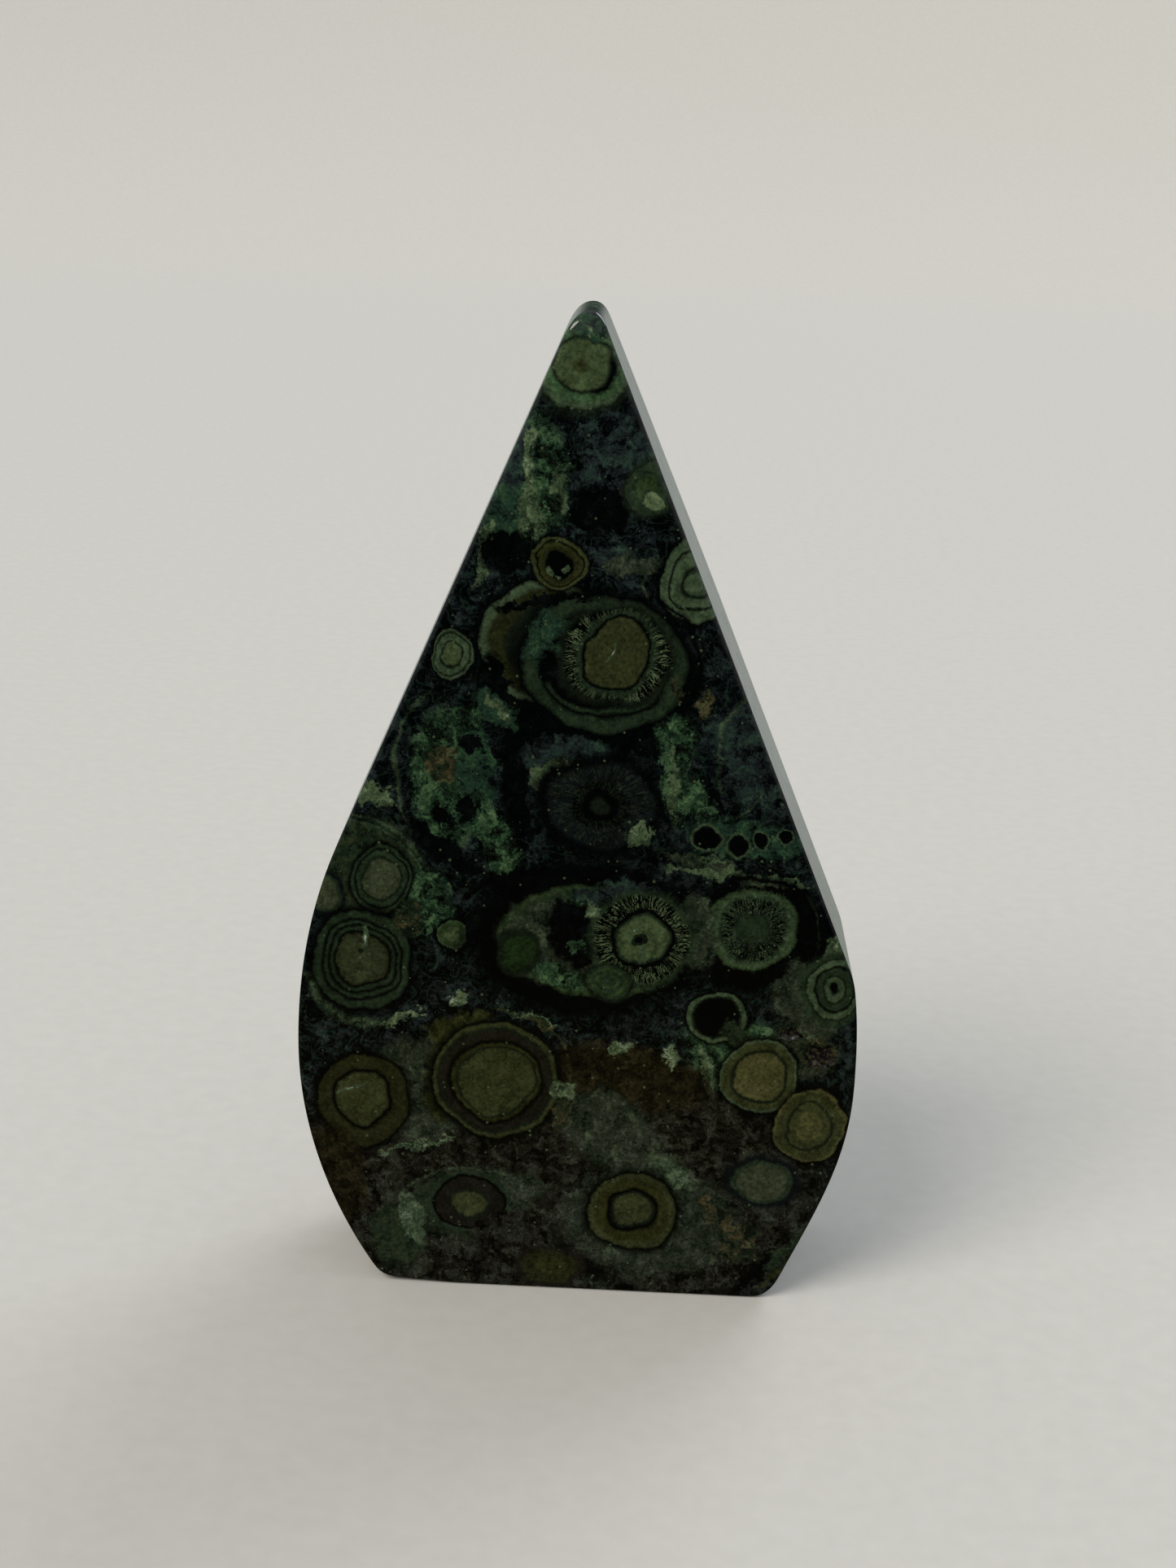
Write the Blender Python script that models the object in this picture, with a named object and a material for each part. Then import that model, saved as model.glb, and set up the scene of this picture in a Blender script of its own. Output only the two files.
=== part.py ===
"""A freestanding flame of kambaba jasper, cut from one piece of stone and polished all over.

The stone is a slab with a flame's outline. Its foot is sawn flat, so that it stands by itself.
Lengths below are millimetres on the stone. X runs along its face, Z up, and the front face looks along -Y.
A place on the outline is written (X, Z), and a lean is the angle from upright.
"""

import math

import bmesh
import bpy
import numpy
from mathutils import Vector
from mathutils.geometry import interpolate_bezier

MM = 0.001

# Driving dimensions
HEIGHT = 108.9
HALF_WIDTH = 30.6
THICKNESS = 20.0

# The two sides, and where their straight stretches would meet above the blunt point
SIDES_MEET = Vector((-1.93, 111.2))
LEFT_LEAN = math.radians(22.35)
RIGHT_LEAN = math.radians(23.55)

# The blunt point: its top, and how far down each side its round reaches. The right side bows out a little
# there
TOP = Vector((-1.25, HEIGHT))
TOP_LEFT_Z = 106.4
TOP_RIGHT_Z = 106.2
TOP_RIGHT_BOW = 0.5
TOP_RIGHT_LEAN = math.radians(21.9)

# Where the straight sides give way to the round belly, and where the belly meets the foot
LEFT_SHOULDER_Z = 51.6
LEFT_BELLY_Z = 29.0
LEFT_FOOT = Vector((-21.9, 1.6))
LEFT_FOOT_LEAN = math.radians(34)
LEFT_BELLY_PULLS = (0.34, 0.34)
RIGHT_SHOULDER_Z = 41.5
RIGHT_SHOULDER_END = Vector((29.9, 37.6))
RIGHT_SHOULDER_LEAN = math.radians(8.5)
RIGHT_BELLY_Z = 26.3
RIGHT_FOOT = Vector((23.55, 2.2))
RIGHT_FOOT_LEAN = math.radians(23)

# The foot: flat between these two, with a worn corner on its left
FLAT_LEFT = -13.0
FLAT_RIGHT = 20.9
WORN_CORNER = Vector((-20.2, 0.42))

# Seen from the side: the back leans forward towards the point, and both faces round over into it
BACK_LEAN_HEIGHT = 33.0
BACK_LEAN_DEPTH = 6.8
BACK_LEAN_POWER = 1.3
ROUND_HEIGHT = 2.4
ROUND_DEPTH = 1.8
EDGE_RADIUS = 0.6

# How finely the curves are cut
TOP_STEPS = 7
SIDE_STEPS = 8
BELLY_STEPS = 13
CORNER_STEPS = 4
EDGE_STEPS = 4
LEAN_STEPS = 9
ROUND_STEPS = 5

# A corner nearer than this to a cut is taken as lying on it
CUT_SNAP = 0.02

# Polished stone: blackish green, and glossy
COLOUR = (0.021, 0.034, 0.022, 1.0)
ROUGHNESS = 0.12

UP = Vector((0, 1))
DOWN = Vector((0, -1))
ACROSS = Vector((1, 0))


def clear_scene():
    for thing in list(bpy.data.objects):
        bpy.data.objects.remove(thing)


def downwards(lean, towards):
    """The way down a line that leans out to the side towards, -1 for the left or 1 for the right."""
    return Vector((towards * math.sin(lean), -math.cos(lean)))


def side_at(lean, towards, z):
    """The place at height z on a straight side."""
    return Vector((SIDES_MEET.x + towards * math.tan(lean) * (SIDES_MEET.y - z), z))


def bend(start, start_way, end, end_way, steps, pulls=(0.36, 0.36)):
    """Places along one smooth bend from start to end, without its last.

    The pulls say how far the bend keeps to its first and last direction, as shares of its length.
    """
    length = (end - start).length
    leave = start + start_way * length * pulls[0]
    arrive = end - end_way * length * pulls[1]
    points = interpolate_bezier(start, leave, arrive, end, steps + 1)
    return [Vector(point[:2]) for point in points[:-1]]


def line(start, end, steps):
    """Places along a straight stretch, without its last."""
    return [start.lerp(end, i / steps) for i in range(steps)]


def outline():
    """The outline, once round: over the point, down the right side, along the foot and up the left."""
    left_round = side_at(LEFT_LEAN, -1, TOP_LEFT_Z)
    right_round = side_at(RIGHT_LEAN, 1, TOP_RIGHT_Z) + ACROSS * TOP_RIGHT_BOW
    left_shoulder = side_at(LEFT_LEAN, -1, LEFT_SHOULDER_Z)
    right_shoulder = side_at(RIGHT_LEAN, 1, RIGHT_SHOULDER_Z)
    left_belly = Vector((-HALF_WIDTH, LEFT_BELLY_Z))
    right_belly = Vector((HALF_WIDTH, RIGHT_BELLY_Z))
    flat_left = Vector((FLAT_LEFT, 0))
    flat_right = Vector((FLAT_RIGHT, 0))
    down_left = downwards(LEFT_LEAN, -1)
    down_right = downwards(RIGHT_LEAN, 1)
    down_bow = downwards(TOP_RIGHT_LEAN, 1)
    below_shoulder = downwards(RIGHT_SHOULDER_LEAN, 1)
    into_right_foot = downwards(RIGHT_FOOT_LEAN, -1)
    out_of_left_foot = -downwards(LEFT_FOOT_LEAN, 1)
    along_worn = (WORN_CORNER - flat_left).normalized()
    return (
        bend(left_round, -down_left, TOP, ACROSS, TOP_STEPS)
        + bend(TOP, ACROSS, right_round, down_bow, TOP_STEPS)
        + bend(right_round, down_bow, right_shoulder, down_right, SIDE_STEPS)
        + bend(right_shoulder, down_right, RIGHT_SHOULDER_END, below_shoulder, CORNER_STEPS)
        + bend(RIGHT_SHOULDER_END, below_shoulder, right_belly, DOWN, BELLY_STEPS)
        + bend(right_belly, DOWN, RIGHT_FOOT, into_right_foot, BELLY_STEPS)
        + bend(RIGHT_FOOT, into_right_foot, flat_right, -ACROSS, CORNER_STEPS)
        + [flat_right, flat_left]
        + bend(WORN_CORNER, along_worn, LEFT_FOOT, out_of_left_foot, CORNER_STEPS)
        + bend(LEFT_FOOT, out_of_left_foot, left_belly, UP, BELLY_STEPS, LEFT_BELLY_PULLS)
        + bend(left_belly, UP, left_shoulder, -down_left, BELLY_STEPS, LEFT_BELLY_PULLS)
        + line(left_shoulder, left_round, SIDE_STEPS)
    )


def cut_heights():
    """Heights, lowest first, where the faces bend to form the point."""
    leaning = [HEIGHT - BACK_LEAN_HEIGHT * (1 - i / LEAN_STEPS) for i in range(LEAN_STEPS)]
    turns = [math.pi / 2 * i / ROUND_STEPS for i in range(ROUND_STEPS + 1)]
    rounding = [HEIGHT - ROUND_HEIGHT * (1 - math.sin(turn)) for turn in turns]
    return sorted(leaning + rounding)


def rounded_in(z):
    """How far either face has rounded in at height z."""
    share = max(0.0, 1 - (HEIGHT - z) / ROUND_HEIGHT)
    return ROUND_DEPTH * (1 - math.sqrt(max(0.0, 1 - share**2)))


def front_y(z):
    return rounded_in(z) - THICKNESS / 2


def back_y(z):
    share = max(0.0, 1 - (HEIGHT - z) / BACK_LEAN_HEIGHT)
    return THICKNESS / 2 - BACK_LEAN_DEPTH * share**BACK_LEAN_POWER - rounded_in(z)


def slab(points):
    """A slab with the outline's shape and softened rims, its front at Y = 0."""
    shape = bmesh.new()
    front = shape.faces.new([shape.verts.new((point.x, 0, point.y)) for point in points])
    grown = bmesh.ops.extrude_face_region(shape, geom=[front], use_keep_orig=True)["geom"]
    back = [item for item in grown if isinstance(item, bmesh.types.BMVert)]
    bmesh.ops.translate(shape, verts=back, vec=(0, THICKNESS, 0))
    rims = [edge for edge in shape.edges if edge.verts[0].co.y == edge.verts[1].co.y]
    bmesh.ops.bevel(
        shape, geom=rims, affect="EDGES", offset_type="OFFSET",
        offset=EDGE_RADIUS, segments=EDGE_STEPS, profile=0.5,
    )
    return shape


def grind_point(shape):
    """Bends the slab's two faces in at the point, so that each stays flat between two cut heights."""
    heights = cut_heights()
    for z in heights[:-1]:
        whole = list(shape.verts) + list(shape.edges) + list(shape.faces)
        bmesh.ops.bisect_plane(shape, geom=whole, dist=CUT_SNAP, plane_co=(0, 0, z), plane_no=(0, 0, 1))
    fronts = [front_y(z) for z in heights]
    backs = [back_y(z) for z in heights]
    for vert in shape.verts:
        depth = vert.co.y / THICKNESS
        front = numpy.interp(vert.co.z, heights, fronts)
        back = numpy.interp(vert.co.z, heights, backs)
        vert.co.y = front * (1 - depth) + back * depth


def flame_mesh():
    shape = slab(outline())
    grind_point(shape)
    bmesh.ops.recalc_face_normals(shape, faces=shape.faces)
    bmesh.ops.scale(shape, vec=(MM, MM, MM), verts=shape.verts)
    mesh = bpy.data.meshes.new("jasper_flame")
    shape.to_mesh(mesh)
    shape.free()
    mesh.shade_smooth()
    mesh.set_sharp_from_angle(angle=math.radians(40))
    return mesh


def polished_jasper():
    material = bpy.data.materials.new("polished_jasper")
    material.use_nodes = True
    shader = material.node_tree.nodes["Principled BSDF"]
    shader.inputs["Base Color"].default_value = COLOUR
    shader.inputs["Roughness"].default_value = ROUGHNESS
    shader.inputs["Metallic"].default_value = 0.0
    return material


def make_flame():
    mesh = flame_mesh()
    mesh.materials.append(polished_jasper())
    flame = bpy.data.objects.new("jasper_flame", mesh)
    bpy.context.scene.collection.objects.link(flame)


clear_scene()
make_flame()
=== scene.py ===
"""A polished flame of kambaba jasper on a pale studio floor.

The stone's outline and size come from the CAD stone. Its markings are laid out in millimetres on the front
face: X to the right, Z up from the foot, Y into the stone, with the front face at Y = -10.
"""

import math
from collections import namedtuple

import bpy
import numpy as np
from mathutils import Matrix, Vector
from mathutils.geometry import convex_hull_2d, delaunay_2d_cdt


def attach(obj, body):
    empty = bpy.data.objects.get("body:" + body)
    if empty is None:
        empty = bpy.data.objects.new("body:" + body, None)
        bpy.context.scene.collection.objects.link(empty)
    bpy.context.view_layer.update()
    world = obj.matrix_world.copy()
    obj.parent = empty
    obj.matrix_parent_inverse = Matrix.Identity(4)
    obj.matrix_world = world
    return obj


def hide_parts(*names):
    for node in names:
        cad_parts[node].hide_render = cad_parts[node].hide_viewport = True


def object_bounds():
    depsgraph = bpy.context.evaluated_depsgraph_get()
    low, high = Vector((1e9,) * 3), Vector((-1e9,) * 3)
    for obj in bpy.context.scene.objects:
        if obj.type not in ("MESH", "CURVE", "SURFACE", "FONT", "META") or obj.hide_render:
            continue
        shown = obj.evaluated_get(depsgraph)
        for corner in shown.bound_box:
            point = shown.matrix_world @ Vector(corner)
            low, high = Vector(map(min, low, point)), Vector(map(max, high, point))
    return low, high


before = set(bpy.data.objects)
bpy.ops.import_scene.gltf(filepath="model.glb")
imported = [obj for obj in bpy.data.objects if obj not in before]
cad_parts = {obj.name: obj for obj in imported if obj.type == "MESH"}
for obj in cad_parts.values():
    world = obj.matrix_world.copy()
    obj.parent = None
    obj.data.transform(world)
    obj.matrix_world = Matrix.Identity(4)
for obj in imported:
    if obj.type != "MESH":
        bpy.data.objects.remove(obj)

CAD_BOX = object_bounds()
MM = 0.001
HEIGHT = CAD_BOX[1].z / MM
THICKNESS = (CAD_BOX[1].y - CAD_BOX[0].y) / MM
FACE = -THICKNESS / 2

# The shape of the point and the rims, as the CAD stone has them
BACK_LEAN_HEIGHT = 33.0
BACK_LEAN_DEPTH = 6.8
BACK_LEAN_POWER = 1.3
ROUND_HEIGHT = 2.4
ROUND_DEPTH = 1.8
EDGE_RADIUS = 0.6

# How finely the stone is cut
RIM_STEP = 0.45
RIM_SMOOTHING = 3
RIM_TURNS = 5
FLANK_STEP = 0.75
FACE_STEP = 0.62
PIT_STEP = 0.24
FILL_GAP = 0.3

# The cutter that fills a face with triangles: it joins corners nearer than this, and keeps what is inside
CORNER_SNAP = 1e-6
KEEP_INSIDE = 1

# The polish: how far it waves and over what length
WAVE = 0.025
WAVE_LENGTH = 14.0
WAVE_SEED = 3.0

# Open pits in the polish, lined with rust: place and reach
PITS = (
    (26.7, 29.9, 1.9, 1.5),
    (23.1, 32.3, 1.2, 0.6),
)

# How deep a pit is and how far into the stone it can act, in millimetres, the shares of its reach where
# its wall starts and where it ends, how many crumbs its edge has to a millimetre and how far they fray
# it, and how much wider than the pit its finer triangles reach
PIT_DEPTH = 0.3
PIT_HOLD = 2.0
PIT_WALL = (1.0, 0.55)
PIT_CRUMBS = 1.3
PIT_FRAY = 2.2
PIT_MARGIN = 1.6

# How softly one ring turns into the next, in shares of the orb's reach and at the most in shares of the
# ring, and the share of the reach where the last ring has faded out
RING_BLUR = 0.035
RING_BLUR_MOST = 0.45
FADE = 1.14

# The two ends of a cover: nothing shows, or all of it does
CLEAR = (0.0, 0.0, 0.0, 0.0)
FULL = (0.0, 0.0, 0.0, 1.0)

# Colours of the stone's minerals, as the eye meets them on the polished face
HUES = {
    "black": "#010202",
    "night": "#0a0e0f",
    "slate": "#1b2122",
    "deep": "#10170e",
    "moss": "#1d281a",
    "teal": "#1c2e24",
    "leaf": "#26341c",
    "fern": "#16250f",
    "sage": "#34412d",
    "olive": "#24260f",
    "khaki": "#2c3019",
    "straw": "#3d3d22",
    "reed": "#38432a",
    "amber": "#1e200e",
    "pale": "#47543a",
    "quartz": "#7c8275",
    "umber": "#171509",
    "rust": "#2b2414",
    "ochre": "#3d351f",
    "soil": "#15140e",
    "dust": "#272a21",
    "jade": "#1c3020",
    "mint": "#32472d",
    "lichen": "#2f3524",
    "bark": "#272b19",
}

# The minerals between the orbs: the colours that each runs through as the grain goes from dark to light
MINERALS = {
    "ground": ((0.45, "black"), (0.53, "night"), (0.63, "slate"), (0.75, "moss")),
    "black": ((0.5, "black"), (0.78, "night")),
    "green": ((0.37, "black"), (0.44, "deep"), (0.52, "jade"), (0.6, "mint"), (0.74, "pale")),
    "teal": ((0.36, "black"), (0.46, "teal"), (0.56, "jade"), (0.68, "mint")),
    "light": ((0.36, "moss"), (0.48, "sage"), (0.6, "pale"), (0.75, "quartz")),
    "grey": ((0.34, "night"), (0.44, "moss"), (0.54, "dust"), (0.66, "sage"), (0.8, "pale")),
    "earth": ((0.4, "black"), (0.49, "soil"), (0.62, "dust"), (0.8, "sage")),
    "haze": ((0.38, "black"), (0.5, "slate"), (0.62, "teal"), (0.75, "sage")),
    "moss": ((0.38, "deep"), (0.54, "moss"), (0.68, "olive"), (0.8, "sage")),
    "olive": ((0.36, "deep"), (0.52, "olive"), (0.7, "khaki")),
    "umber": ((0.34, "black"), (0.52, "umber"), (0.74, "rust")),
    "rust": (
        (0.42, "deep"), (0.5, "moss"), (0.55, "rust"), (0.6, "ochre"), (0.66, "sage"), (0.72, "rust"),
    ),
    "quartz": ((0.36, "slate"), (0.46, "sage"), (0.56, "pale"), (0.72, "quartz")),
}

# Cut orbs: the share of an orb's reach where each ring ends, from its centre out, and the ring's colour
RINGS = {
    "tip": (
        (0.16, "khaki"), (0.58, "reed"), (0.66, "deep"), (0.84, "mint"), (0.95, "sage"), (1.0, "deep"),
    ),
    "disc": ((0.5, "reed"), (0.8, "leaf"), (0.88, "sage"), (1.0, "black")),
    "dull": (
        (0.3, "moss"), (0.42, "leaf"), (0.6, "moss"), (0.72, "leaf"), (0.88, "moss"), (1.0, "deep"),
    ),
    "vivid": ((0.75, "fern"), (1.0, "deep")),
    "light_disc": ((0.8, "pale"), (1.0, "moss")),
    "halo": ((0.5, "leaf"), (0.9, "moss"), (1.0, "deep")),
    "target": (
        (0.44, "reed"), (0.54, "deep"), (0.78, "sage"), (0.86, "deep"), (0.95, "sage"), (1.0, "black"),
    ),
    "eye": (
        (0.48, "black"), (0.62, "amber"), (0.74, "olive"), (0.8, "black"), (0.94, "khaki"), (1.0, "black"),
    ),
    "edge": (
        (0.3, "sage"), (0.4, "deep"), (0.66, "sage"), (0.72, "black"), (0.95, "sage"), (1.0, "black"),
    ),
    "crescent": ((0.6, "deep"), (0.84, "amber"), (0.96, "sage"), (1.0, "black")),
    "collar": ((0.66, "black"), (0.7, "moss"), (0.76, "black"), (0.93, "moss"), (1.0, "black")),
    "dark": ((0.96, "black"), (1.0, "deep")),
    "core": ((0.84, "khaki"), (0.93, "black"), (1.0, "moss")),
    "quartz": ((0.16, "deep"), (0.5, "black"), (0.9, "night"), (1.0, "black")),
    "pit": ((0.78, "black"), (0.88, "deep"), (1.0, "sage")),
    "twin": (
        (0.53, "lichen"), (0.62, "deep"), (0.78, "moss"), (0.84, "black"), (0.95, "moss"), (1.0, "black"),
    ),
    "onion": (
        (0.5, "bark"), (0.56, "black"), (0.63, "moss"), (0.68, "black"), (0.75, "moss"), (0.8, "black"),
        (0.94, "moss"), (1.0, "black"),
    ),
    "capsule": ((0.93, "leaf"), (1.0, "black")),
    "feathered": ((0.48, "reed"), (0.52, "moss"), (0.6, "black"), (0.93, "black"), (1.0, "moss")),
    "seeded": ((0.42, "moss"), (0.5, "night"), (0.84, "black"), (0.93, "moss"), (1.0, "sage")),
    "hollow": ((0.74, "black"), (0.8, "deep"), (0.95, "sage"), (1.0, "black")),
    "ripple": (
        (0.14, "black"), (0.3, "sage"), (0.36, "deep"), (0.55, "moss"), (0.62, "black"), (0.8, "sage"),
        (0.86, "deep"), (1.0, "moss"),
    ),
    "late": ((0.6, "straw"), (0.7, "deep"), (0.9, "khaki"), (0.97, "sage"), (1.0, "black")),
    "double": (
        (0.4, "straw"), (0.6, "khaki"), (0.66, "deep"), (0.9, "khaki"), (0.97, "straw"), (1.0, "black"),
    ),
    "angular": ((0.57, "khaki"), (0.66, "black"), (0.96, "amber"), (1.0, "black")),
    "great": (
        (0.58, "khaki"), (0.61, "deep"), (0.66, "olive"), (0.72, "black"), (0.86, "soil"), (0.9, "deep"),
        (0.97, "khaki"), (1.0, "black"),
    ),
    "buried": ((0.42, "khaki"), (0.52, "deep"), (0.85, "soil"), (0.95, "black"), (1.0, "moss")),
    "ringed": (
        (0.38, "khaki"), (0.44, "deep"), (0.54, "black"), (0.8, "olive"), (0.94, "khaki"), (1.0, "black"),
    ),
    "soft": ((0.7, "lichen"), (0.84, "moss"), (1.0, "night")),
    "half": ((0.5, "olive"), (0.85, "amber"), (1.0, "soil")),
    "pupil": ((0.6, "black"), (1.0, "deep")),
    "crack": ((0.3, "quartz"), (1.0, "sage")),
}

# Crystal needles and fibres that point out from an orb's centre: their hue, the shares of the reach that
# they run between, how strongly they show, and how far they ruffle the rings
FIBRES = {
    "core": ("deep", 0.1, 0.8, 0.35, 0.0),
    "dark": ("pale", 0.62, 0.98, 1.0, 0.12),
    "onion": ("sage", 0.02, 0.45, 0.5, 0.05),
    "feathered": ("pale", 0.6, 1.0, 1.0, 0.22),
    "seeded": ("sage", 0.42, 0.95, 1.0, 0.3),
    "quartz": ("sage", 0.3, 0.95, 0.25, 0.4),
    "great": ("deep", 0.1, 0.58, 0.35, 0.0),
}

# How closely the fibres stand round an orb, the shares of their noise where one starts to show and where
# it shows in full, and how softly their zone starts and ends
FIBRE_SCALE = 30.0
FIBRE_SHOWS = (0.5, 0.62)
FIBRE_START_BLUR = 0.04
FIBRE_END_BLUR = 0.08

# Where a patch's cover starts and where it is full, in shares of its reach
PATCH_EDGE = (1.12, 0.8)

# Where a seam's cover starts and where it is full, in shares of its width, how softly its ends fade, and
# between which levels of the grain a pale seam goes from nearly gone to nearly whole
SEAM_EDGE = (1.6, 0.2)
SEAM_END = 0.2
SEAM_BREAKS = (0.4, 0.6)
SEAM_STRENGTH = (0.1, 0.9)

# The markings of the front face, in the order they are laid: a middle, and how far each reaches across
# and up from it. An orb or a patch can be turned by some degrees. A seam is a thin line where one growth
# met the next, along part of an ellipse: way is where on it the middle of the line lies, in degrees from
# +X towards +Z, spread how far the line runs on either side, and width how thick it is as a share of the
# ellipse
Orb = namedtuple("Orb", "rings x z wide high turn")
Patch = namedtuple("Patch", "stuff x z wide high turn")
Seam = namedtuple("Seam", "hue x z wide high way spread width")

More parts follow.
